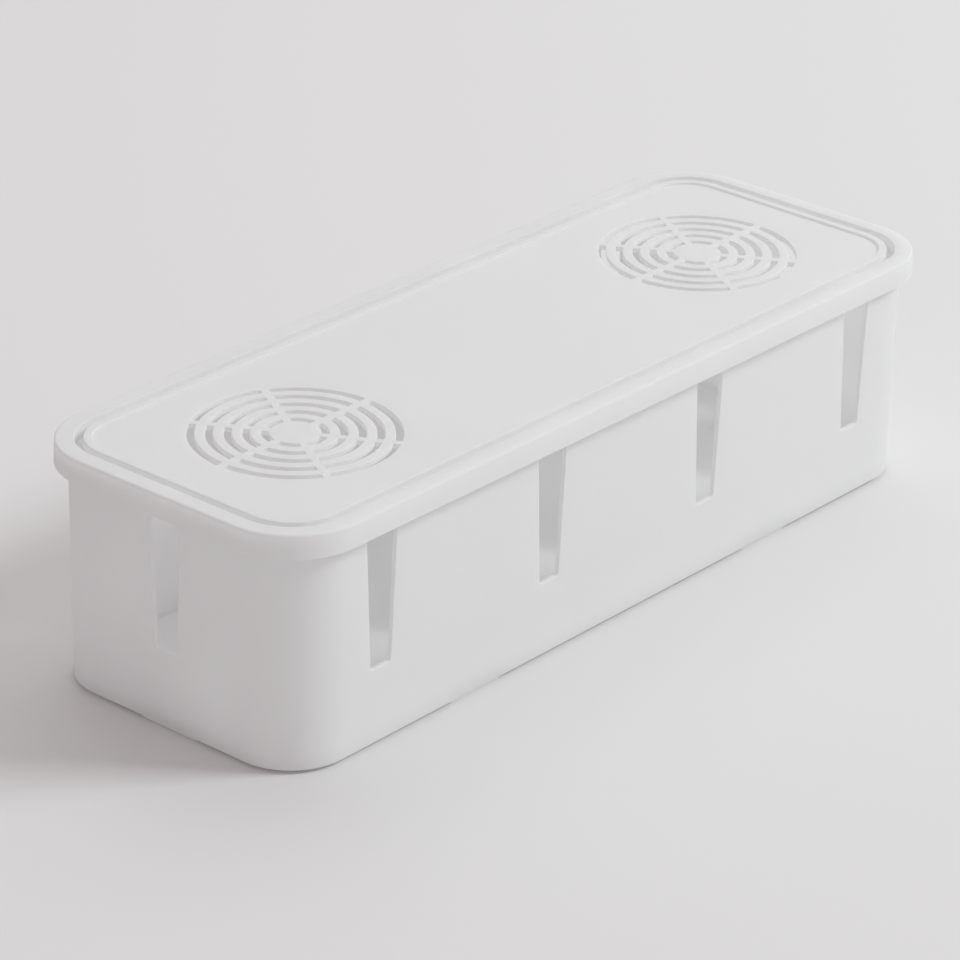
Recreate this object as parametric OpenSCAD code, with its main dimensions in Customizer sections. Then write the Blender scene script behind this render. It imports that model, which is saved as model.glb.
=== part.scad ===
// Cable management box: a long tub that hides a socket strip and its spare leads, closed by
// a loose lid that lifts straight off. The lid's skirt hangs over slots in the tub's walls
// that let the leads out, and two round grilles in the lid let the warm air out.
// Millimetres, +Z up, long walls along X, front wall facing -Y. The origin is on the table
// under the middle of the box.

/* [Lid] */
// length of the lid, the longest size of the box
lid_l = 400; // [340:1:460]
// width of the lid
lid_w = 143.5; // [132:0.5:180]
// height from the table to the lid's rim
total_h = 102; // [80:1:140]
// corner radius of the lid, seen from above
lid_corner_r = 31.5; // [28:0.5:42]
// height of the skirt that hangs over the tub's walls
skirt_h = 10; // [8:0.5:16]
// thickness of the skirt
skirt_t = 2; // [1.4:0.1:2.6]
// how much the skirt flares out towards its open edge
skirt_flare = 0.3; // [0:0.1:0.6]
// width of the flat rim around the lid's top, outside the channel
rim_w = 7.9; // [7.7:0.1:9]
// thickness of the rim
rim_t = 2.4; // [1.8:0.1:3]
// radius of the rim's outer edge
rim_r = 1; // [0.6:0.1:1.7]
// radius of the small edges: beside the channel, at the skirt's foot and on the tub's rim
edge_r = 0.3; // [0.2:0.05:0.6]
// width of the channel between the rim and the centre panel
channel_w = 3.4; // [2.5:0.1:5]
// depth of the channel below the rim
channel_depth = 5; // [3:0.1:5.5]
// thickness of the channel's walls and floor
channel_t = 1.8; // [1.4:0.1:2.2]
// width of the centre panel's border, which lies level with the rim
border_w = 3.4; // [2:0.1:5]
// depth of the centre panel inside its border below the rim
panel_depth = 1; // [0.5:0.1:1.4]
// thickness of the centre panel
plate_t = 2.1; // [1.6:0.1:2.8]

/* [Locating rib under the lid] */
// play between the rib and the inside of the tub
rib_gap = 0.6; // [0.3:0.1:1.2]
// thickness of the rib
rib_t = 1.6; // [1.2:0.1:2.2]
// how far the rib reaches down inside the tub's rim
rib_h = 3.4; // [2.5:0.1:5]

/* [Vent grilles] */
// distance of each grille's centre from the middle of the box
vent_x = 123.4; // [110:0.5:130]
// radius of the outermost ring of slots
vent_r = 41.5; // [36:0.5:46]
// rings of slots in each grille
vent_rings = 5; // [3:1:5]
// distance from one ring of slots to the next
vent_pitch = 7.1; // [6.4:0.1:7.5]
// width of a ring's slots
vent_slot_w = 3; // [2:0.1:4]
// width of the spokes that cross the rings
spoke_w = 3.2; // [2:0.1:5]
// radius of the shallow dimple in the middle of a grille
dimple_r = 1.2; // [0.8:0.1:3]
// depth of the dimple
dimple_depth = 0.15; // [0.1:0.05:0.4]

/* [Tub] */
// how far the lid's skirt stands outside the tub's wall, measured at the tub's rim
overhang = 5.4; // [4.6:0.1:5.6]
// thickness of the walls
wall_t = 2; // [1.6:0.1:2.1]
// thickness of the floor
floor_t = 2; // [1.6:0.1:3]
// how much each wall leans in from rim to base
tub_draft = 0.3; // [0:0.1:2]
// radius of the tub's outer bottom edge
base_r = 0.8; // [0.4:0.1:1.6]
// radius between the floor and the walls, inside
floor_r = 2; // [1:0.1:4]

/* [Cable slots] */
// distance between the slots along the long walls
slot_pitch = 98; // [84:0.1:100]
// height of the slots' flat bottom above the table
slot_z = 33.2; // [20:0.1:50]
// width of a slot at its bottom
slot_bottom_w = 11.1; // [7:0.1:16]
// width of a slot at the tub's rim, where it is open
slot_top_w = 17.1; // [16:0.1:22]
// radius of a slot's bottom corners
slot_r = 1.2; // [0.6:0.1:2.5]

/* [Foot pads] */
// length of a pad
foot_l = 34; // [24:1:44]
// width of a pad
foot_w = 8; // [6:0.5:14]
// thickness of a pad, the height of the tub above the table
foot_t = 1.3; // [0.8:0.1:3]
// how far a pad's long side stays inside the tub's bottom edge
foot_inset = 0.9; // [0.9:0.1:4]
// distance of the long walls' pads from the middle of the box
foot_x = 91; // [60:1:100]

/* [Hidden] */
$fn = 96;

// clearance by which cutters run past the faces they cut
over = 1;
// overlap between a swept edge and the flat plate inside it
lap = 2;
// number of slots in each long wall
long_slots = 4;
// angle between the grille's crossing spokes, each running right across
spoke_step = 60;

// all corners of lid and tub turn around the same four upright axes
axis_x = lid_l / 2 - lid_corner_r;
axis_y = lid_w / 2 - lid_corner_r;

// distances from those axes, from the skirt's foot inwards
skirt_d = lid_corner_r;
lid_top_d = skirt_d - skirt_flare;
rim_in_d = skirt_d - rim_w;
border_d = rim_in_d - channel_w;
panel_d = border_d - border_w;
tub_d = skirt_d - overhang;
tub_in_d = tub_d - wall_t;
tub_base_d = tub_d - tub_draft;
tub_floor_d = tub_in_d - tub_draft;
rib_d = tub_in_d - rib_gap;
rib_in_d = rib_d - rib_t;

// heights above the table
base_z = foot_t;
floor_z = base_z + floor_t;
skirt_z = total_h - skirt_h;
rim_under_z = total_h - rim_t;
panel_z = total_h - panel_depth;
panel_under_z = panel_z - plate_t;
channel_z = total_h - channel_depth;
channel_under_z = channel_z - channel_t;
rib_z = channel_under_z - rib_h;
tub_z = channel_under_z;

module tub() color([0.93, 0.93, 0.92]) {
    difference() {
        union() {
            around_corners() tub_profile();
            translate([0, 0, base_z])
                linear_extrude(height = floor_t) plan(tub_floor_d - floor_r);
        }
        for (i = [0 : long_slots - 1])
            translate([(i - (long_slots - 1) / 2) * slot_pitch, 0, 0])
                slot_cutter(lid_w);
        rotate([0, 0, 90]) slot_cutter(lid_l);
    }
}

module lid() color([0.93, 0.93, 0.92]) {
    difference() {
        union() {
            around_corners() lid_profile();
            translate([0, 0, panel_under_z])
                linear_extrude(height = plate_t) plan(panel_d - lap / 2);
        }
        for (side = [-1, 1])
            translate([side * vent_x, 0, 0]) vent_cutter();
    }
}

module foot_front_left() foot([-foot_x, -foot_y()]);

module foot_front_right() foot([foot_x, -foot_y()]);

module foot_back_left() foot([-foot_x, foot_y()]);

module foot_back_right() foot([foot_x, foot_y()]);

module foot_left_end() foot([-foot_end_x(), 0], 90);

module foot_right_end() foot([foot_end_x(), 0], 90);

function foot_y() = axis_y + tub_base_d - foot_inset - foot_w / 2;

function foot_end_x() = axis_x + tub_base_d - foot_inset - foot_w / 2;

// a stuck-on pad with round ends, lying flat under the tub's floor
module foot(at, turn = 0) color([0.9, 0.9, 0.89])
    translate([at[0], at[1], 0])
        rotate([0, 0, turn]) linear_extrude(height = foot_t) {
            square([foot_l - foot_w, foot_w], center = true);
            for (side = [-1, 1])
                translate([side * (foot_l - foot_w) / 2, 0]) circle(d = foot_w);
        }

// flat shape whose rounded corners reach d from the corner axes
module plan(d) {
    square([2 * (axis_x + d), 2 * axis_y], center = true);
    square([2 * axis_x, 2 * (axis_y + d)], center = true);
    for (x = [-axis_x, axis_x], y = [-axis_y, axis_y])
        translate([x, y]) circle(r = d);
}

// carries an upright profile, x being the distance from a corner axis, right round the box
module around_corners() {
    for (turn = [0, 180]) {
        rotate([0, 0, turn]) {
            translate([axis_x, axis_y, 0]) rotate_extrude(angle = 90) children();
            translate([-axis_x, axis_y, 0])
                rotate([0, 0, 90]) rotate_extrude(angle = 90) children();
            translate([axis_x, axis_y, 0])
                rotate([90, 0, 0]) linear_extrude(height = 2 * axis_y) children();
            translate([-axis_x, axis_y, 0])
                rotate([90, 0, 90]) linear_extrude(height = 2 * axis_x) children();
        }
    }
}

// what a fillet of radius r leaves of a square corner; the corner lies at the origin,
// and the solid lies towards +x +y
module corner_scrap(r) {
    difference() {
        square(r);
        translate([r, r]) circle(r = r);
    }
}

// wall with the edge strip of the floor
module tub_profile() {
    difference() {
        polygon([
            [tub_floor_d - floor_r - lap, base_z],
            [tub_base_d, base_z],
            [tub_base_d, base_z + base_r],
            [tub_d, tub_z - edge_r],
            [tub_d, tub_z],
            [tub_in_d, tub_z],
            [tub_in_d, tub_z - edge_r],
            [tub_floor_d, floor_z + floor_r],
            [tub_floor_d, floor_z],
            [tub_floor_d - floor_r - lap, floor_z]
        ]);
        translate([tub_base_d, base_z]) mirror([1, 0]) corner_scrap(base_r);
        translate([tub_d, tub_z]) rotate(180) corner_scrap(edge_r);
        translate([tub_in_d, tub_z]) mirror([0, 1]) corner_scrap(edge_r);
    }
    translate([tub_floor_d, floor_z]) mirror([1, 0]) corner_scrap(floor_r);
}

// skirt, rim, channel, the panel's border and the locating rib under the channel
module lid_profile() {
    difference() {
        polygon([
            [panel_d - lap, panel_z],
            [panel_d, panel_z],
            [panel_d, total_h],
            [border_d, total_h],
            [border_d, channel_z],
            [rim_in_d, channel_z],
            [rim_in_d, total_h],
            [lid_top_d, total_h],
            [lid_top_d, total_h - rim_r],
            [skirt_d, skirt_z + edge_r],
            [skirt_d, skirt_z],
            [skirt_d - skirt_t, skirt_z],
            [lid_top_d - skirt_t, rim_under_z],
            [rim_in_d + channel_t, rim_under_z],
            [rim_in_d + channel_t, channel_under_z],
            [rib_d, channel_under_z],
            [rib_d, rib_z],
            [rib_in_d, rib_z],
            [rib_in_d, channel_under_z],
            [border_d - channel_t, channel_under_z],
            [border_d - channel_t, panel_under_z],
            [panel_d - lap, panel_under_z]
        ]);
        translate([lid_top_d, total_h]) rotate(180) corner_scrap(rim_r);
        translate([rim_in_d, total_h]) mirror([0, 1]) corner_scrap(edge_r);
        translate([border_d, total_h]) rotate(180) corner_scrap(edge_r);
        translate([skirt_d, skirt_z]) mirror([1, 0]) corner_scrap(edge_r);
    }
}

// one tapered slot through both walls that face +-Y, open at the top
module slot_cutter(reach) {
    translate([0, reach / 2 + over, 0])
        rotate([90, 0, 0]) linear_extrude(height = reach + 2 * over) slot_shape();
}

// the slot's outline: rounded bottom corners, and above them sides that lean outwards
module slot_shape() {
    bottom = slot_bottom_w / 2;
    side_z = slot_z + slot_r;
    lean = (slot_top_w / 2 - bottom) / (tub_z - side_z);
    polygon([
        [-bottom + slot_r, slot_z],
        [bottom - slot_r, slot_z],
        [bottom - slot_r, side_z],
        [bottom, side_z],
        [slot_top_w / 2 + lean * over, tub_z + over],
        [-slot_top_w / 2 - lean * over, tub_z + over],
        [-bottom, side_z],
        [-bottom + slot_r, side_z]
    ]);
    for (side = [-1, 1])
        translate([side * (bottom - slot_r), side_z]) circle(r = slot_r);
}

// rings of arc slots, parted by straight spokes, and the dimple in the middle
module vent_cutter() {
    translate([0, 0, panel_under_z - over]) linear_extrude(height = plate_t + 2 * over)
        difference() {
            for (i = [0 : vent_rings - 1]) {
                ring_r = vent_r - i * vent_pitch;
                difference() {
                    circle(r = ring_r);
                    circle(r = ring_r - vent_slot_w);
                }
            }
            for (turn = [0 : spoke_step : 180 - spoke_step])
                rotate(turn) square([2 * (vent_r + over), spoke_w], center = true);
        }
    ball_r = (dimple_r * dimple_r + dimple_depth * dimple_depth) / (2 * dimple_depth);
    translate([0, 0, panel_z - dimple_depth + ball_r]) sphere(r = ball_r);
}

tub();
lid();
foot_front_left();
foot_front_right();
foot_back_left();
foot_back_right();
foot_left_end();
foot_right_end();
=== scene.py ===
"""Cable management box in a plain studio: a slotted tub, a vented lift-off lid and foot pads.

Lengths are in metres. +Z is up, the box's long walls run along X and its front faces -Y.
"""

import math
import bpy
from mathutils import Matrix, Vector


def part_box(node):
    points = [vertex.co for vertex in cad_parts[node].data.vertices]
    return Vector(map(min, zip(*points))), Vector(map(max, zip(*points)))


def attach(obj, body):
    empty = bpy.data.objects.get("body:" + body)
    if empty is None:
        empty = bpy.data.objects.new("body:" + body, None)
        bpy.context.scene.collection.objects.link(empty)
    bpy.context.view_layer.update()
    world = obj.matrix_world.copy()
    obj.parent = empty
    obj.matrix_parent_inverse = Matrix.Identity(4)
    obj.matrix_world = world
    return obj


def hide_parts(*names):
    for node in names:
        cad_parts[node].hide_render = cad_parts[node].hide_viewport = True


bl_info = {
    "name": "Cable management box",
    "version": (1, 0, 0),
    "blender": (4, 5, 0),
    "location": "3D View > Sidebar > Cable box",
    "description": "Builds a white moulded cable box: vented lid, slotted tub, foot pads, studio",
    "category": "Object",
}

import bmesh
import bpy
import numpy as np
from mathutils import Matrix, Vector, geometry

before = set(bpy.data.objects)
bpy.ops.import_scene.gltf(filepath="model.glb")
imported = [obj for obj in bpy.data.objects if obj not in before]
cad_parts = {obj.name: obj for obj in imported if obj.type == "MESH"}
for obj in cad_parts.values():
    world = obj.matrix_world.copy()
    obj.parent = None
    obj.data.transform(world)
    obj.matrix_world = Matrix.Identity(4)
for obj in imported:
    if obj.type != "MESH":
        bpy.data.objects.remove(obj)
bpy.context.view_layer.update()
LID_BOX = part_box("lid")
TUB_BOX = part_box("tub")
PADS = [name for name in sorted(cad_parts) if name.startswith("foot_")]

MM = 0.001
# points closer than this are one point
WELD = 2e-6
# edges that turn more than this stay crisp
CRISP = math.radians(34)
# a flat face keeps a strip of this width beside each rounded edge, so its shading stays flat
HOLD = 0.12 * MM
# the flat panel of the lid, and the walls' rows under the slots, start this far from the rest
LAP = 3 * MM
# the floor's flat face starts this far inside its rounding
FLOOR_LAP = 2 * MM
# points round the dimple in the middle of a grille
DIMPLE_STEPS = 32
# columns over the width of a slot in a wall, from one edge to the other
OVER_SLOT = np.linspace(-1, 1, 5)
# parts of the glow that are left at the foot of a wall and in the floor that lies on the table,
# and the height over which a wall's share grows to the whole
FOOT_GLOW = 0.65
FLOOR_GLOW = 0.05
FOOT_HEIGHT = 20 * MM


# ---------------------------------------------------------------- sizes and finishes


def length(name, default, description, low=0.0, high=1.0):
    """A length in metres, shown in the scene's units."""
    return bpy.props.FloatProperty(
        name=name, description=description, default=default, min=low, max=high,
        unit="LENGTH", subtype="DISTANCE", precision=4,
    )


def tone(name, default, description):
    """A colour a user would change."""
    return bpy.props.FloatVectorProperty(
        name=name, description=description, default=default, size=3, min=0.0, max=1.0,
        subtype="COLOR",
    )


def amount(name, default, description, low=0.0, high=1.0):
    """A plain number."""
    return bpy.props.FloatProperty(
        name=name, description=description, default=default, min=low, max=high
    )


def spot(name, default, description):
    """A point in the scene."""
    return bpy.props.FloatVectorProperty(
        name=name, description=description, default=default, size=3, subtype="TRANSLATION",
        unit="LENGTH",
    )


def angle(name, degrees, description):
    """An angle, given in degrees."""
    return bpy.props.FloatProperty(
        name=name, description=description, default=math.radians(degrees), subtype="ANGLE"
    )


def count(name, default, description, high):
    """A whole number of like things."""
    return bpy.props.IntProperty(
        name=name, description=description, default=default, min=1, max=high
    )


class CableBoxPlan(bpy.types.PropertyGroup):
    """Outside of the box"""

    lid_length: length("Length", LID_BOX[1].x - LID_BOX[0].x, "Length of the lid")
    lid_width: length("Width", LID_BOX[1].y - LID_BOX[0].y, "Width of the lid")
    top: length("Height", LID_BOX[1].z, "Height of the lid's rim above the table")
    corner_radius: length("Corner radius", 31.5 * MM, "Corner radius of the lid from above")


class CableBoxLid(bpy.types.PropertyGroup):
    """Section of the lid's edge"""

    skirt_height: length("Skirt height", 10 * MM, "Height of the skirt")
    skirt_thickness: length("Skirt thickness", 2 * MM, "Thickness of the skirt")
    skirt_flare: length("Skirt flare", 0.3 * MM, "How far the skirt's foot stands out")
    rim_width: length("Rim width", 7.9 * MM, "Width of the flat rim")
    rim_thickness: length("Rim thickness", 2.4 * MM, "Thickness of the rim")
    rim_radius: length("Rim radius", 1.0 * MM, "Radius of the rim's outer edge")
    channel_width: length("Channel width", 3.4 * MM, "Gap between the rim and the border")
    channel_depth: length("Channel depth", 5 * MM, "Depth of the channel below the rim")
    channel_thickness: length("Channel thickness", 1.8 * MM, "Thickness of the channel's shell")
    border_width: length("Border width", 3.4 * MM, "Width of the panel's border")
    panel_depth: length("Panel depth", 1 * MM, "Depth of the panel inside its border")
    plate_thickness: length("Plate thickness", 2.1 * MM, "Thickness of the panel")
    rib_gap: length("Rib gap", 0.6 * MM, "Play between the locating rib and the tub")
    rib_thickness: length("Rib thickness", 1.6 * MM, "Thickness of the locating rib")
    rib_height: length("Rib height", 3.4 * MM, "How far the rib reaches into the tub")


class CableBoxVents(bpy.types.PropertyGroup):
    """The two round grilles in the lid"""

    offset: length("Offset", 123.4 * MM, "Distance of each grille from the lid's middle")
    radius: length("Radius", 41.5 * MM, "Radius of the outermost ring of slots")
    pitch: length("Ring pitch", 7.1 * MM, "Distance from ring to ring")
    slot_width: length("Slot width", 3 * MM, "Width of a ring's slots")
    spoke_width: length("Spoke width", 3.2 * MM, "Width of the spokes")
    rings: count("Rings", 5, "Rings of slots in a grille", 5)
    spokes: count("Spokes", 6, "Spokes of a grille", 12)
    edge_radius: length("Edge radius", 0.3 * MM, "Rounding of the slots' mouths")
    dimple_radius: length("Dimple radius", 1.2 * MM, "Radius of the dimple in the middle")
    dimple_depth: length("Dimple depth", 0.15 * MM, "Depth of the dimple")


class CableBoxTub(bpy.types.PropertyGroup):
    """Walls, floor and cable slots of the tub"""

    overhang: length("Overhang", 5.4 * MM, "How far the skirt stands outside the tub's wall")
    wall: length("Wall", 2 * MM, "Thickness of the walls")
    floor: length("Floor", 2 * MM, "Thickness of the floor")
    draft: length("Draft", 0.3 * MM, "How far each wall leans in from rim to base")
    base_radius: length("Base radius", 0.8 * MM, "Radius of the outer bottom edge")
    floor_radius: length("Floor radius", 2 * MM, "Radius between floor and walls")
    edge_radius: length("Edge radius", 0.35 * MM, "Rounding of the rim and the slots' edges")
    long_slots: count("Long slots", 4, "Slots in each long wall", 4)
    slot_pitch: length("Slot pitch", 98 * MM, "Distance between the long walls' slots")
    slot_bottom: length("Slot bottom", 33.2 * MM, "Height of the slots' flat bottom")
    slot_bottom_width: length("Bottom width", 11.1 * MM, "Width of a slot at its bottom")
    slot_top_width: length("Top width", 17.1 * MM, "Width of a slot at the rim")
    slot_corner: length("Slot corner", 1.2 * MM, "Radius of a slot's bottom corners")


class CableBoxFinish(bpy.types.PropertyGroup):
    """Colours and surfaces"""

    plastic: tone("Plastic", (0.93, 0.93, 0.93), "Colour of the moulded lid and tub")
    pad: tone("Pads", (0.92, 0.92, 0.915), "Colour of the foot pads")
    gloss: amount("Roughness", 0.6, "Roughness of the moulded plastic")
    grain: amount("Grain", 0.035, "Depth of the plastic's fine moulded grain")
    glow: amount("Glow", 0.45, "Share of light that goes through the plastic")
    pad_gloss: amount("Pad roughness", 0.6, "Roughness of the pads")
    pad_grain: amount("Pad grain", 0.06, "Depth of the pads' fine grain")


class CableBoxStudio(bpy.types.PropertyGroup):
    """Floor, lights and camera"""

    ground: tone("Ground", (0.80, 0.79, 0.79), "Colour of the floor")
    sky: amount("Sky", 0.469, "Strength of the even light from all round", 0.0, 5.0)
    sky_tint: tone("Sky tint", (1.0, 0.918, 0.928), "Colour of the even light")
    key: amount("Key", 76.4, "Power of the soft light in front on the right", 0.0, 1000.0)
    key_tint: tone("Key tint", (0.909, 0.995, 1.0), "Colour of the light in front")
    key_from: spot("Key from", (2.010, -2.312, 2.571), "Where the light in front stands")
    key_size: length("Key size", 1.2, "Side of the light in front", 0.01, 10.0)
    back: amount("Back", 17.6, "Power of the wide light behind on the right", 0.0, 1000.0)
    back_tint: tone("Back tint", (0.952, 1.0, 0.986), "Colour of the light behind")
    back_from: spot("Back from", (1.147, 0.803, 2.425), "Where the light behind stands")
    back_size: length("Back size", 2.4, "Side of the light behind", 0.01, 10.0)
    azimuth: angle("Azimuth", -49.66, "Compass angle of the camera round the box")
    elevation: angle("Elevation", 25.402, "Camera angle above the horizon")
    roll: angle("Roll", 1.24, "Tilt of the camera about its line of sight")
    distance: length("Distance", 1.7762, "Camera distance", 0.1, 20.0)
    aim: spot("Aim", (-0.00716, 0.00259, 0.04079), "Point that the camera looks at")
    shift: bpy.props.FloatVectorProperty(
        name="Shift", description="Small lens shift of the camera", size=2,
        default=(-0.0067, -0.0028),
    )
    lens: amount("Lens", 164.15, "Focal length in millimetres", 10.0, 500.0)


SETTINGS = {
    "cable_box_plan": CableBoxPlan,
    "cable_box_lid": CableBoxLid,
    "cable_box_vents": CableBoxVents,
    "cable_box_tub": CableBoxTub,
    "cable_box_finish": CableBoxFinish,
    "cable_box_studio": CableBoxStudio,
}


# ---------------------------------------------------------------- surfaces on grids


def grid_faces(rows, cols, wrap=False):
    """Quads between neighbours of a rows x cols grid numbered row by row; wrap closes the rows."""
    i, j = np.meshgrid(
        np.arange(rows if wrap else rows - 1), np.arange(cols - 1), indexing="ij"
    )
    below = (i + 1) % rows
    return np.stack(
        [i * cols + j, below * cols + j, below * cols + j + 1, i * cols + j + 1], -1
    ).reshape(-1, 4)


def rounded(profile, steps=5):
    """Profile of (distance, height, radius) with its corners rounded, and strips held flat.

    At a corner P with unit vectors u, v along its two sides and half angle h between them, the
    arc of radius r touches both sides r/tan(h) from P. Its points run from u's touching point to
    v's by turning the radius vector evenly through 180 degrees minus the full angle. A point is
    added on either side of each arc. The two end points have no rounding.
    """
    profile = np.asarray(profile, float)
    points, r = profile[:, :2], profile[1:-1, 2:]
    corner = points[1:-1]
    u = points[:-2] - corner
    v = points[2:] - corner
    u /= np.linalg.norm(u, axis=1, keepdims=True)
    v /= np.linalg.norm(v, axis=1, keepdims=True)
    half = np.arccos(np.sum(u * v, axis=1, keepdims=True)) / 2
    touch = r / np.tan(half)
    centre = corner + (u + v) / np.linalg.norm(u + v, axis=1, keepdims=True) * r / np.sin(half)
    start = corner + u * touch - centre
    end = corner + v * touch - centre
    turn = (math.pi - 2 * half)[:, :, None]
    s = np.linspace(0, 1, steps + 1)[None, :, None]
    arc = np.sin((1 - s) * turn) * start[:, None] + np.sin(s * turn) * end[:, None]
    arc = centre[:, None] + arc / np.sin(turn)
    before = (corner + u * (touch + HOLD))[:, None]
    after = (corner + v * (touch + HOLD))[:, None]
    inner = np.concatenate([before, arc, after], axis=1).reshape(-1, 2)
    return np.concatenate([points[:1], inner, points[-1:]])


def heading(a):
    """Unit vectors in plan at the angles a."""
    return np.stack([np.cos(a), np.sin(a)], -1)


def lifted(plan, z):
    """Plan points with heights; z is one height or an array that spreads over the points."""
    return np.concatenate([plan, np.broadcast_to(z, plan.shape[:-1])[..., None]], axis=-1)


def four_sides(half_x, half_y):
    """The sides of the rectangle through the corner axes, counter-clockwise.

    Each is (angle of its normal, normal, direction along, middle, half length, whether long).
    """
    for k in range(4):
        a = math.radians(90 * k)
        normal = heading(a)
        along = np.array([-normal[1], normal[0]])
        long = k % 2 == 1
        yield a, normal, along, normal * (half_x, half_y), half_x if long else half_y, long


def stations(half_x, half_y, turn_steps=24, straight_steps=(12, 4)):
    """Foot points and outward directions right round a rounded rectangle, counter-clockwise.

    Foot points run along the inner rectangle through the corner axes; on a straight side the
    direction is the side's normal, and at a corner the foot point stays and the direction turns.
    """
    feet, out = [], []
    for a, normal, along, middle, half, long in four_sides(half_x, half_y):
        steps = straight_steps[0] if long else straight_steps[1]
        t = np.linspace(-half, half, steps + 1)[:-1, None] if half > WELD else np.zeros((0, 1))
        feet.append(middle + t * along)
        out.append(np.broadcast_to(normal, (len(t), 2)))
        turn = np.linspace(0, math.pi / 2, turn_steps + 1)[: None if half_y < WELD else -1]
        feet.append(np.broadcast_to(middle + half * along, (len(turn), 2)))
        out.append(heading(a + turn))
    return np.concatenate(feet), np.concatenate(out)


def carried(profile, feet, out):
    """Profile of (distance, height) carried round: foot point + distance x direction, height."""
    return lifted(feet[:, None] + profile[None, :, :1] * out[:, None], profile[:, 1])


def hole_side(r, thickness, steps=4):
    """(Growth, depth) over a hole's rounded edge, through the plate and over the other edge.

    The rounding is r (1 - sin b) wider than the hole at the depth r (1 - cos b), with b from 0
    to 90 degrees, and a strip is held flat before and behind it. The far edge mirrors it.
    """
    b = np.linspace(0, math.pi / 2, steps + 1)
    roll = np.stack([r * (1 - np.sin(b)), r * (1 - np.cos(b))], -1)
    near = np.concatenate([[[r + HOLD, 0]], roll, [[0, r + HOLD]]])
    return np.concatenate([near, (near * (1, -1) + (0, thickness))[::-1]])


class Shell:
    """Gathers grids of points into one closed mesh."""

    def __init__(self):
        self.points, self.faces, self.count = [], [], 0

    def add(self, points, faces):
        """Adds points of any grid shape and faces numbered within them."""
        points = np.asarray(points, float).reshape(-1, 3)
        self.faces += (np.asarray(faces) + self.count).tolist()
        self.points.append(points)
        self.count += len(points)

    def add_grid(self, grid, wrap=False, keep=None):
        """Adds a grid of points with its quads; keep is a mask over the quads."""
        faces = grid_faces(grid.shape[0], grid.shape[1], wrap)
        self.add(grid, faces if keep is None else faces[keep.reshape(-1)])

    def add_cap(self, loop):
        """Closes a flat loop of points with one face."""
        self.add(loop, [list(range(len(loop)))])

    def finish(self, name, material, body, replaced, slot):
        """Merges doubled points, turns faces outward and hangs the piece on its body."""
        mesh = bpy.data.meshes.new(name)
        mesh.from_pydata(np.concatenate(self.points).tolist(), [], self.faces)
        bm = bmesh.new()
        bm.from_mesh(mesh)
        bmesh.ops.remove_doubles(bm, verts=bm.verts, dist=WELD)
        bmesh.ops.dissolve_degenerate(bm, edges=bm.edges, dist=WELD / 2)
        bmesh.ops.recalc_face_normals(bm, faces=bm.faces)
        open_edges = sum(not e.is_manifold for e in bm.edges)
        bm.to_mesh(mesh)
        bm.free()
        if open_edges:
            raise RuntimeError(f"{name} has {open_edges} edges that aren't closed")
        mesh.shade_smooth()
        mesh.set_sharp_from_angle(angle=CRISP)
        mesh.materials.append(material)
        piece = bpy.data.objects.new(name, mesh)
        bpy.context.scene.collection.objects.link(piece)
        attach(piece, body)
        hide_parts(replaced)


# ---------------------------------------------------------------- the box's shared lines


def axes(plan):
    """Distances of the four corner axes from the middle, along X and Y."""
    return (
        plan.lid_length / 2 - plan.corner_radius,
        plan.lid_width / 2 - plan.corner_radius,
    )


def lid_section(plan, lid, tub):
    """(Distance from the corner axes, height) along the lid's section, and the panel's levels.

    It starts on the panel's top, runs out over the border, through the channel, over the rim and
    down the skirt, and comes back under the rim, round the channel's underside with the locating
    rib, to the panel's underside.
    """
    foot = plan.corner_radius
    side = foot - lid.skirt_flare
    rim = foot - lid.rim_width
    border = rim - lid.channel_width
    panel = border - lid.border_width
    rib = foot - tub.overhang - tub.wall - lid.rib_gap
    rib_in = rib - lid.rib_thickness
    start = panel - LAP
    top = plan.top
    under_rim = top - lid.rim_thickness
    channel_z = top - lid.channel_depth
    panel_z = top - lid.panel_depth
    panel_under = panel_z - lid.plate_thickness
    channel_under = channel_z - lid.channel_thickness
    rib_z = channel_under - lid.rib_height
    skirt_z = top - lid.skirt_height
    # distance, height and rounding in millimetres
    profile = [
        (start, panel_z, 0),
        (panel, panel_z, 0.3),
        (panel, top, 0.3),
        (border, top, 0.5),
        (border, channel_z, 0.5),
        (rim, channel_z, 0.5),
        (rim, top, 0.3),
        (side, top, lid.rim_radius / MM),
        (foot, skirt_z, 0.3),
        (foot - lid.skirt_thickness, skirt_z, 0.3),
        (side - lid.skirt_thickness, under_rim, 0.5),
        (rim + lid.channel_thickness, under_rim, 0.4),
        (rim + lid.channel_thickness, channel_under, 0.1),
        (rib, channel_under, 0.2),
        (rib, rib_z, 0.3),
        (rib_in, rib_z, 0.3),
        (rib_in, channel_under, 0.2),
        (border - lid.channel_thickness, channel_under, 0.3),
        (border - lid.channel_thickness, panel_under, 0.4),
        (start, panel_under, 0),
    ]
    return rounded(np.array(profile) * (1, 1, MM)), start, panel_z, panel_under


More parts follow.
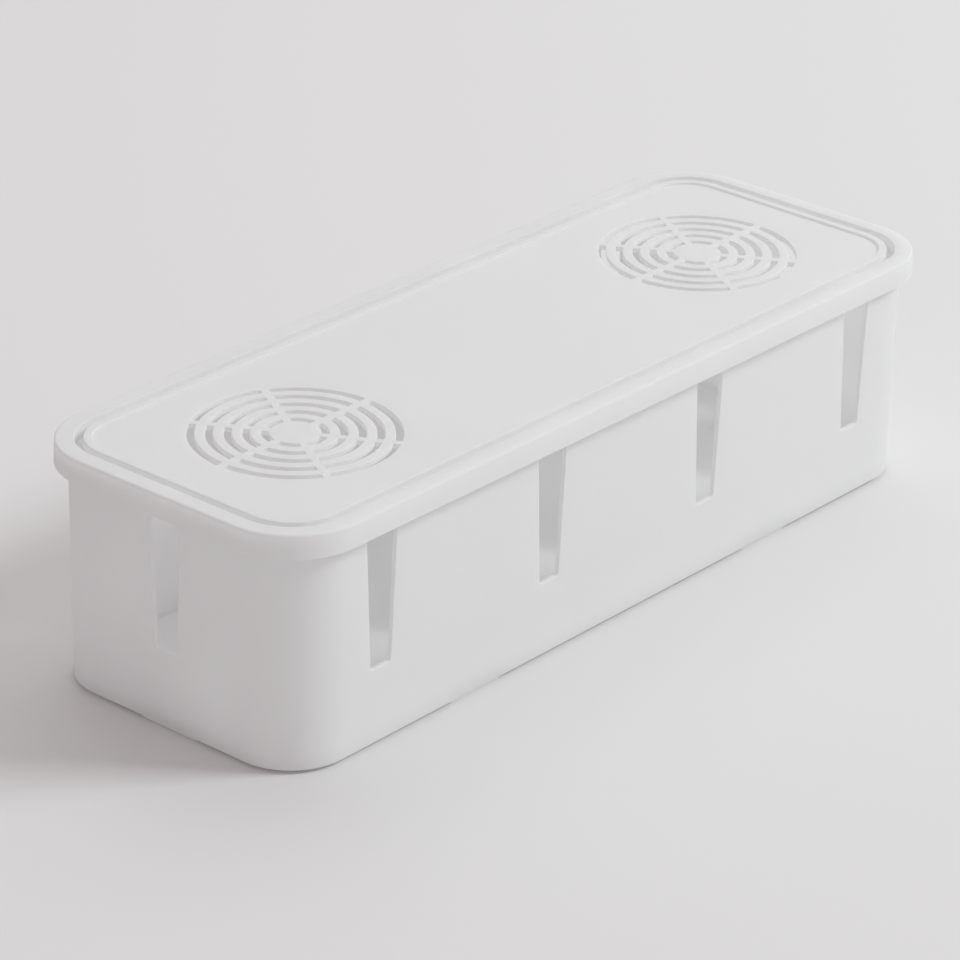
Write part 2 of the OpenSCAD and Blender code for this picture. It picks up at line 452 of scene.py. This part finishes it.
def grille_loops(vents, offset, arc_steps=16):
    """Outlines of a grille's slots in plan, grown outwards by offset; slots x points x 2.

    In polar coordinates a slot runs from its inner to its outer radius, and from one spoke's
    straight side to the next: at radius r that side stands asin(half spoke / r) off the spoke's
    own angle. The outer arc is walked counter-clockwise and the inner one back.
    """
    ring = np.arange(vents.rings)
    outer = (vents.radius - ring * vents.pitch)[:, None] + offset
    inner = (vents.radius - ring * vents.pitch - vents.slot_width)[:, None] - offset
    half = vents.spoke_width / 2 - offset
    t = np.linspace(0, 1, arc_steps + 1)[None]
    step = 2 * math.pi / vents.spokes

    def arc(r, t):
        clear = np.arcsin(half / r)
        return clear + t * (step - 2 * clear), np.broadcast_to(r, (len(r), t.shape[1]))

    a, r = (np.concatenate(p, axis=1) for p in zip(arc(outer, t), arc(inner, 1 - t)))
    loops = r[..., None] * heading(a + (np.arange(vents.spokes) * step)[:, None, None])
    return loops.reshape(-1, loops.shape[-2], 2)


def in_grille(plan_points, vents, offset):
    """True for plan points, measured from a grille's centre, that lie in a slot or the dimple."""
    r = np.hypot(plan_points[:, 0], plan_points[:, 1])
    step = 2 * math.pi / vents.spokes
    a = np.mod(np.arctan2(plan_points[:, 1], plan_points[:, 0]), step)
    beside = r * np.sin(np.minimum(a, step - a)) > vents.spoke_width / 2 - offset
    ring = np.arange(vents.rings)[:, None]
    outer = vents.radius - ring * vents.pitch + offset
    inner = vents.radius - ring * vents.pitch - vents.slot_width - offset
    slot = ((r > inner) & (r < outer)).any(axis=0)
    return (slot & beside) | (r < vents.dimple_radius + HOLD)


def flat_between(outline, holes, inside_hole):
    """Triangles of the flat face inside an outline and outside its holes.

    The triangulation works in millimetres, keeps all the lines and adds no points; inside_hole
    tells for plan points whether they lie in a hole, and is asked for each triangle's middle.
    """
    loops = [outline] + list(holes)
    points = np.concatenate(loops) / MM
    edges, first = [], 0
    for loop in loops:
        n = np.arange(len(loop))
        edges.append(np.stack([n, (n + 1) % len(loop)], -1) + first)
        first += len(loop)
    inside_outline, nearest = 1, 1e-7
    found = geometry.delaunay_2d_cdt(
        [Vector(p) for p in points.tolist()], np.concatenate(edges).tolist(), [],
        inside_outline, nearest,
    )
    points = np.array([tuple(p) for p in found[0]]) * MM
    faces = np.array([tuple(f) for f in found[2]])
    return points, faces[~inside_hole(points[faces].mean(axis=1))]


class TubLines:
    """Lines that the tub's walls and slots share, as distances from the corner axes."""

    def __init__(self, plan, lid, tub):
        self.tub = tub
        self.base = TUB_BOX[0].z
        self.floor = self.base + tub.floor
        self.top = plan.top - lid.channel_depth - lid.channel_thickness
        self.rim = plan.corner_radius - tub.overhang
        spread = (tub.slot_top_width - tub.slot_bottom_width) / 2
        self.lean = math.atan(spread / (self.top - tub.slot_bottom))
        # half of a slot's flat bottom, up to where its corner arcs touch it
        touch = tub.slot_corner / math.tan((math.pi / 2 + self.lean) / 2)
        self.flat = tub.slot_bottom_width / 2 - touch
        # up a slot's side: angles of the corner arc, then heights of the straight side, which
        # starts 1 mm above the arc, and of the rim's rounding, edge x sin b
        edge = tub.edge_radius
        self.turn = np.linspace(0, math.pi / 2 - self.lean, 7)
        low = tub.slot_bottom + tub.slot_corner * (1 - math.sin(self.lean)) + 1 * MM
        high = self.top - edge
        rise = np.linspace(0, 1, 7)[1:]
        bend = np.linspace(0, math.pi / 2, 5)[1:]
        self.side_z = np.concatenate([low + (high - low) * rise, high + edge * np.sin(bend)])
        # how far the rim's rounding pulls each of these nodes back: edge x (1 - cos b)
        still = np.zeros(len(self.turn) + len(rise))
        self.pull = np.concatenate([still, edge * (1 - np.cos(bend))])

    def outer(self, z):
        """Distance of the drafted wall's outer face at the height z."""
        return self.rim - self.tub.draft * (self.top - z) / (self.top - self.base)

    def slot_side(self, grow):
        """(Half width, height) up a slot's side, grown into the wall by grow.

        The bottom corner is an arc about its own centre; above it the half width grows with
        the height's rise times tan(lean), and at the rim the rounding pulls it further.
        """
        bottom, corner = self.tub.slot_bottom, self.tub.slot_corner
        arc = np.stack([
            self.flat + (corner + grow) * np.sin(self.turn),
            bottom + corner - (corner + grow) * np.cos(self.turn),
        ], -1)
        wide = self.tub.slot_bottom_width / 2 + (self.side_z - bottom) * math.tan(self.lean)
        wide = wide + (grow + self.pull[len(self.turn):]) / math.cos(self.lean)
        return np.concatenate([arc, np.stack([wide, self.side_z], -1)])

    def rows(self):
        """Height, slot's half width and pull of each row of the walls' faces.

        The first row runs under the slots; the others follow a slot's side, grown by the
        rounding and the held strip beside it.
        """
        grown = self.tub.edge_radius + HOLD
        side = self.slot_side(grown)
        return (
            np.concatenate([[self.tub.slot_bottom - grown - LAP], side[:, 1]]),
            np.concatenate([[self.flat], side[:, 0]]),
            np.concatenate([[0], self.pull]),
        )

    def cut_face(self):
        """(Along the wall, height, distance) over the face that a slot cuts through the wall.

        Its rows run over the outer edge, through the wall and over the inner edge, and its
        columns down one side, across the flat bottom and up the other side. At the rim, where
        the rounding pulls in both faces, the rows share what is left of the wall.
        """
        wall = self.tub.wall
        through = hole_side(self.tub.edge_radius, wall)
        side = np.stack([self.slot_side(grow) for grow, _ in through])
        flat_x = np.broadcast_to(OVER_SLOT[1:-1] * self.flat, (len(through), len(OVER_SLOT) - 2))
        flat_z = self.tub.slot_bottom - through[:, :1] + 0 * flat_x
        x = np.concatenate([-side[:, ::-1, 0], flat_x, side[..., 0]], axis=1)
        z = np.concatenate([side[:, ::-1, 1], flat_z, side[..., 1]], axis=1)
        pull = np.concatenate([self.pull[::-1], np.zeros(flat_x.shape[1]), self.pull])
        return x, z, self.outer(z) - pull - through[:, 1:] * (wall - 2 * pull) / wall


def wall_columns(tub, row_half, half_x, half_y):
    """Columns of the walls' faces right round the tub, and where the slots are.

    Gives the foot points (rows x columns x 2), the outward directions, a mark for each column
    whose quads lie in a slot, and for each slot (middle of its side, direction along the side,
    normal, place along). Over a slot the columns lie at place + share x the row's half width;
    between slots and corners three plain columns are spread evenly.
    """
    feet, out, in_slot, slots = [], [], [], []
    plain = np.linspace(0, 1, 5)[1:-1]
    turn = np.linspace(0, math.pi / 2, 25)[:-1]
    for a, normal, along, middle, half, long in four_sides(half_x, half_y):
        number = tub.long_slots if long else 1
        places = (np.arange(number) - (number - 1) / 2) * tub.slot_pitch
        slots += [(middle, along, normal, place) for place in places]
        start, end = (np.full((len(row_half), 1), t) for t in (-half, half))
        stops = [start, *(place + row_half[:, None] * OVER_SLOT for place in places), end]
        for stop, after in zip(stops, stops[1:]):
            last, following = stop[:, -1:], after[:, :1]
            t = np.concatenate([stop, last + (following - last) * plain], axis=1)
            feet.append(middle + t[..., None] * along)
            out.append(np.broadcast_to(normal, (t.shape[1], 2)))
            in_slot.append(np.arange(t.shape[1]) < stop.shape[1] - 1)
        feet.append(np.broadcast_to(middle + half * along, (len(row_half), len(turn), 2)))
        out.append(heading(a + turn))
        in_slot.append(np.zeros(len(turn), bool))
    return np.concatenate(feet, axis=1), np.concatenate(out), np.concatenate(in_slot), slots


# ---------------------------------------------------------------- finishes


def node(tree, kind, at, **values):
    """A shader node with its inputs and settings given by name."""
    n = tree.nodes.new(kind)
    n.location = at
    for key, value in values.items():
        if key in n.inputs:
            n.inputs[key].default_value = value
        else:
            setattr(n, key, value)
    return n


def moulded_plastic(name, colour, roughness, grain):
    """Semi-matt moulding: fine spark-eroded grain, faint waves in the walls, soft sheen.

    Colour and sheen drift a little from place to place.
    """
    material = bpy.data.materials.new(name)
    material.use_nodes = True
    tree = material.node_tree
    link = tree.links.new
    shader = tree.nodes["Principled BSDF"]
    shader.inputs["IOR"].default_value = 1.49
    shader.inputs["Specular IOR Level"].default_value = 0.2
    place = node(tree, "ShaderNodeTexCoord", (-1300, 0))
    clouds = node(tree, "ShaderNodeTexNoise", (-1050, 300), Scale=14.0, Detail=3.0)
    grit = node(tree, "ShaderNodeTexNoise", (-1050, 0), Scale=2600.0, Detail=2.0)
    wave = node(tree, "ShaderNodeTexNoise", (-1050, -300), Scale=22.0, Detail=1.0)
    for noise in (clouds, grit, wave):
        link(place.outputs["Object"], noise.inputs["Vector"])
    shade = node(tree, "ShaderNodeMix", (-600, 300), data_type="RGBA")
    shade.inputs["A"].default_value = tuple(c * 0.985 for c in colour) + (1,)
    shade.inputs["B"].default_value = tuple(min(1, c * 1.01) for c in colour) + (1,)
    link(clouds.outputs["Fac"], shade.inputs["Factor"])
    link(shade.outputs["Result"], shader.inputs["Base Color"])
    matt = node(tree, "ShaderNodeMapRange", (-600, 50))
    matt.inputs["To Min"].default_value = roughness - 0.03
    matt.inputs["To Max"].default_value = roughness + 0.05
    link(clouds.outputs["Fac"], matt.inputs["Value"])
    link(matt.outputs["Result"], shader.inputs["Roughness"])
    ripple = node(tree, "ShaderNodeBump", (-600, -300), Strength=0.05, Distance=0.002)
    link(wave.outputs["Fac"], ripple.inputs["Height"])
    fine = node(tree, "ShaderNodeBump", (-350, -150), Strength=grain, Distance=0.0002)
    link(grit.outputs["Fac"], fine.inputs["Height"])
    link(ripple.outputs["Normal"], fine.inputs["Normal"])
    link(fine.outputs["Normal"], shader.inputs["Normal"])
    return material


def let_light_through(material, glow, floor_z=None):
    """Lets the share glow of the light go on through a wall, as thin white polypropylene does.

    With floor_z, the share is FOOT_GLOW of that at the foot of a wall and grows evenly with the
    height, and it is FLOOR_GLOW of it in the flat floor, whose upper face is at floor_z.
    """
    tree = material.node_tree
    link = tree.links.new
    through = node(tree, "ShaderNodeBsdfTranslucent", (100, -300), Color=(1.0, 1.0, 1.0, 1.0))
    both = node(tree, "ShaderNodeMixShader", (350, 0), Fac=glow)
    link(tree.nodes["Principled BSDF"].outputs["BSDF"], both.inputs[1])
    link(through.outputs["BSDF"], both.inputs[2])
    link(both.outputs["Shader"], tree.nodes["Material Output"].inputs["Surface"])
    if floor_z is None:
        return
    place = node(tree, "ShaderNodeTexCoord", (-750, 600))
    split = node(tree, "ShaderNodeSeparateXYZ", (-550, 600))
    rise = node(tree, "ShaderNodeMapRange", (-300, 650))
    rise.inputs["From Min"].default_value = floor_z
    rise.inputs["From Max"].default_value = floor_z + FOOT_HEIGHT
    rise.inputs["To Min"].default_value = FOOT_GLOW * glow
    rise.inputs["To Max"].default_value = glow
    # 1 in the floor's upper face and 0 elsewhere
    flat = node(tree, "ShaderNodeMath", (-300, 400), operation="COMPARE")
    flat.inputs[1].default_value = floor_z
    flat.inputs[2].default_value = 0.05 * MM
    share = node(tree, "ShaderNodeMath", (-50, 500), operation="MULTIPLY_ADD")
    share.inputs[1].default_value = (FLOOR_GLOW - FOOT_GLOW) * glow
    link(place.outputs["Object"], split.inputs["Vector"])
    link(split.outputs["Z"], rise.inputs["Value"])
    link(split.outputs["Z"], flat.inputs[0])
    link(flat.outputs["Value"], share.inputs[0])
    link(rise.outputs["Result"], share.inputs[2])
    link(share.outputs["Value"], both.inputs["Fac"])


def plain_ground(name, colour):
    """Matt studio floor with a very faint mottle."""
    material = bpy.data.materials.new(name)
    material.use_nodes = True
    tree = material.node_tree
    shader = tree.nodes["Principled BSDF"]
    shader.inputs["Roughness"].default_value = 0.9
    shader.inputs["Specular IOR Level"].default_value = 0.1
    place = node(tree, "ShaderNodeTexCoord", (-900, 0))
    mottle = node(tree, "ShaderNodeTexNoise", (-700, 0), Scale=3.0, Detail=4.0)
    shade = node(tree, "ShaderNodeMix", (-400, 0), data_type="RGBA")
    shade.inputs["A"].default_value = tuple(c * 0.99 for c in colour) + (1,)
    shade.inputs["B"].default_value = tuple(colour) + (1,)
    tree.links.new(place.outputs["Object"], mottle.inputs["Vector"])
    tree.links.new(mottle.outputs["Fac"], shade.inputs["Factor"])
    tree.links.new(shade.outputs["Result"], shader.inputs["Base Color"])
    return material


# ---------------------------------------------------------------- operators


class CABLEBOX_OT_lid(bpy.types.Operator):
    """Moulded lid with skirt, rim, channel, panel, two grilles and the locating rib"""

    bl_idname = "cable_box.lid"
    bl_label = "Lid"

    def execute(self, context):
        scene = context.scene
        plan, lid, vents = scene.cable_box_plan, scene.cable_box_lid, scene.cable_box_vents
        finish = scene.cable_box_finish
        shell = Shell()
        feet, out = stations(*axes(plan))
        section, start, panel_z, panel_under = lid_section(plan, lid, scene.cable_box_tub)
        shell.add_grid(carried(section, feet, out), wrap=True)

        # slots and dimple of each grille, and the dimple's flat patch on the underside
        edge = hole_side(vents.edge_radius, panel_z - panel_under)
        grown = edge[0, 0]
        ring = np.linspace(0, 2 * math.pi, DIMPLE_STEPS + 1)[:-1]
        across = (vents.dimple_radius + HOLD) * heading(ring)
        part = np.linspace(1, 0, 7)
        # the dimple sinks as (1 - (r/R)^2)^2 from its edge to the middle
        sink = vents.dimple_depth * (1 - part**2) ** 2
        holes = []
        for centre in ((-vents.offset, 0), (vents.offset, 0)):
            layers = np.stack([grille_loops(vents, o) for o, _ in edge], axis=2) + centre
            for slot in layers:
                shell.add_grid(lifted(slot, panel_z - edge[:, 1]), wrap=True)
            cup = part[:, None, None] * across + centre
            for heights in (panel_z - sink, np.full(len(part), panel_under)):
                shell.add_grid(lifted(cup, heights[:, None]).swapaxes(0, 1), wrap=True)
            holes += [*(grille_loops(vents, grown) + centre), across + centre]

        def in_hole(p):
            left = in_grille(p + (vents.offset, 0), vents, grown)
            return left | in_grille(p - (vents.offset, 0), vents, grown)

        points, faces = flat_between(feet + start * out, holes, in_hole)
        for z in (panel_z, panel_under):
            shell.add(lifted(points, z), faces)
        plastic = moulded_plastic("lid_polypropylene", finish.plastic, finish.gloss, finish.grain)
        let_light_through(plastic, finish.glow)
        shell.finish("lid_shell", plastic, "lid", "lid", "lid_plastic")
        return {"FINISHED"}


class CABLEBOX_OT_tub(bpy.types.Operator):
    """Moulded tub: drafted walls with tapered slots that are open at the rim, and a floor"""

    bl_idname = "cable_box.tub"
    bl_label = "Tub"

    def execute(self, context):
        scene = context.scene
        plan, tub, finish = scene.cable_box_plan, scene.cable_box_tub, scene.cable_box_finish
        lines = TubLines(plan, scene.cable_box_lid, tub)
        row_z, row_half, row_pull = lines.rows()
        feet, out, in_slot, slots = wall_columns(tub, row_half, *axes(plan))
        shell = Shell()

        # both faces of the walls and the rim between them; the slots are open from the second row
        void = in_slot[:, None] & (np.arange(len(row_z) - 1) >= 1)
        rim = []
        for depth, sign in ((0, -1), (tub.wall, 1)):
            d = lines.outer(row_z) - depth + sign * row_pull
            face = lifted(feet + d[:, None, None] * out, row_z[:, None]).swapaxes(0, 1)
            shell.add_grid(face, wrap=True, keep=~void)
            rim.append(face[:, -1])
        shell.add_grid(np.stack(rim, axis=1), wrap=True, keep=~in_slot[:, None])

        # from the lowest row down and inwards: the underside, and the floor's upper face
        join = lines.rim - tub.draft - tub.wall - tub.floor_radius - FLOOR_LAP
        for depth, level, radius in (
            (0, lines.base, tub.base_radius), (tub.wall, lines.floor, tub.floor_radius)
        ):
            profile = rounded([
                (lines.outer(row_z[0]) - depth, row_z[0], 0),
                (lines.outer(lines.base) - depth, level, radius),
                (join, level, 0),
            ])
            strip = carried(profile, feet[0], out)
            shell.add_grid(strip, wrap=True)
            shell.add_cap(strip[:, -1])

        x, z, d = lines.cut_face()
        for middle, along, normal, place in slots:
            ribbon = lifted(middle + (place + x)[..., None] * along + d[..., None] * normal, z)
            shell.add_grid(ribbon)
            for end in (0, -1):
                shell.add_cap(ribbon[:, end])

        plastic = moulded_plastic("tub_polypropylene", finish.plastic, finish.gloss, finish.grain)
        let_light_through(plastic, finish.glow, lines.floor)
        shell.finish("tub_shell", plastic, "tub", "tub", "tub_plastic")
        return {"FINISHED"}


class CABLEBOX_OT_foot_pads(bpy.types.Operator):
    """Thin soft pads with round ends under the tub"""

    bl_idname = "cable_box.foot_pads"
    bl_label = "Foot pads"

    def execute(self, context):
        finish = context.scene.cable_box_finish
        rubber = moulded_plastic("pad_rubber", finish.pad, finish.pad_gloss, finish.pad_grain)
        # the underside curls up at its edge, so that a pad stands on its middle
        curl, inward = 0.45 * MM, 1.2 * MM
        for name in PADS:
            low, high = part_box(name)
            middle = (low + high) / 2
            size = high - low
            across = min(size.x, size.y) / 2
            feet, out = stations(max(size.x, size.y) / 2 - across, 0.0, 16, (2, 0))
            if size.y > size.x:
                feet, out = feet[:, ::-1] * (1, -1), out[:, ::-1] * (1, -1)
            section = rounded([
                (across / 2, high.z, 0),
                (across, high.z, 0.3 * MM),
                (across, low.z + curl, 0.1 * MM),
                (across - inward, low.z, 1.0 * MM),
                (across / 2, low.z, 0),
            ])
            shell = Shell()
            strip = carried(section, feet + (middle.x, middle.y), out)
            shell.add_grid(strip, wrap=True)
            for end in (0, -1):
                shell.add_cap(strip[:, end])
            shell.finish(name + "_pad", rubber, "tub", name, "foot_pad")
        return {"FINISHED"}


class CABLEBOX_OT_studio(bpy.types.Operator):
    """Pale floor, even sky, a soft light in front, a wide one behind and the camera"""

    bl_idname = "cable_box.studio"
    bl_label = "Studio"

    def execute(self, context):
        scene = context.scene
        studio = scene.cable_box_studio
        reach = 12.0
        lit = Vector((0, 0, 50 * MM))
        mesh = bpy.data.meshes.new("ground")
        corners = reach * np.array([(-1, -1, 0), (1, -1, 0), (1, 1, 0), (-1, 1, 0)])
        mesh.from_pydata(corners.tolist(), [], [(0, 1, 2, 3)])
        mesh.materials.append(plain_ground("ground_paper", studio.ground))
        ground = bpy.data.objects.new("ground", mesh)
        scene.collection.objects.link(ground)

        world = bpy.data.worlds.new("studio_sky")
        world.use_nodes = True
        background = world.node_tree.nodes["Background"]
        background.inputs["Color"].default_value = (*studio.sky_tint, 1.0)
        background.inputs["Strength"].default_value = studio.sky
        scene.world = world

        for kind in ("key", "back"):
            lamp = bpy.data.lights.new(kind + "_softbox", "AREA")
            lamp.shape = "SQUARE"
            lamp.size = getattr(studio, kind + "_size")
            lamp.energy = getattr(studio, kind)
            lamp.color = getattr(studio, kind + "_tint")
            softbox = bpy.data.objects.new(kind + "_softbox", lamp)
            softbox.location = getattr(studio, kind + "_from")
            beam = lit - softbox.location
            softbox.rotation_euler = beam.to_track_quat("-Z", "Y").to_euler()
            scene.collection.objects.link(softbox)
        self.place_camera(scene, studio)
        # light crosses the white walls many times before it leaves the box
        scene.cycles.diffuse_bounces = 12
        scene.cycles.max_bounces = 16
        scene.view_settings.view_transform = "Standard"
        return {"FINISHED"}

    @staticmethod
    def place_camera(scene, studio):
        """Camera looking back along (azimuth, elevation), tilted by roll."""
        a, e, roll = studio.azimuth, studio.elevation, studio.roll
        back = Vector((math.sin(a) * math.cos(e), -math.cos(a) * math.cos(e), math.sin(e)))
        right = Vector((math.cos(a), math.sin(a), 0))
        up = back.cross(right)
        right, up = (
            right * math.cos(roll) + up * math.sin(roll),
            up * math.cos(roll) - right * math.sin(roll),
        )
        cam = bpy.data.objects.new("camera", bpy.data.cameras.new("camera"))
        cam.data.lens = studio.lens
        cam.data.sensor_width = 36.0
        cam.data.shift_x, cam.data.shift_y = studio.shift
        place = Matrix((right, up, back)).transposed().to_4x4()
        place.translation = Vector(studio.aim) + back * studio.distance
        cam.matrix_world = place
        scene.collection.objects.link(cam)
        scene.camera = cam


class CABLEBOX_PT_panel(bpy.types.Panel):
    """Steps that build the box"""

    bl_label = "Cable box"
    bl_idname = "CABLEBOX_PT_panel"
    bl_space_type = "VIEW_3D"
    bl_region_type = "UI"
    bl_category = "Cable box"

    def draw(self, context):
        layout = self.layout
        for operator in OPERATORS:
            layout.operator(operator.bl_idname)
        for name in SETTINGS:
            group = getattr(context.scene, name)
            box = layout.box()
            box.label(text=group.bl_rna.name)
            for key in group.__annotations__:
                box.prop(group, key)


OPERATORS = (CABLEBOX_OT_lid, CABLEBOX_OT_tub, CABLEBOX_OT_foot_pads, CABLEBOX_OT_studio)


def register():
    """Registers settings, operators and panel."""
    for name, group in SETTINGS.items():
        bpy.utils.register_class(group)
        setattr(bpy.types.Scene, name, bpy.props.PointerProperty(type=group))
    for operator in OPERATORS:
        bpy.utils.register_class(operator)
    bpy.utils.register_class(CABLEBOX_PT_panel)


def unregister():
    """Takes panel, operators and settings away again."""
    bpy.utils.unregister_class(CABLEBOX_PT_panel)
    for operator in reversed(OPERATORS):
        bpy.utils.unregister_class(operator)
    for name, group in reversed(SETTINGS.items()):
        delattr(bpy.types.Scene, name)
        bpy.utils.unregister_class(group)


def main():
    """Builds the pieces in order."""
    register()
    bpy.ops.cable_box.lid()
    bpy.ops.cable_box.tub()
    bpy.ops.cable_box.foot_pads()
    bpy.ops.cable_box.studio()
    bpy.context.view_layer.update()


if __name__ == "__main__":
    main()
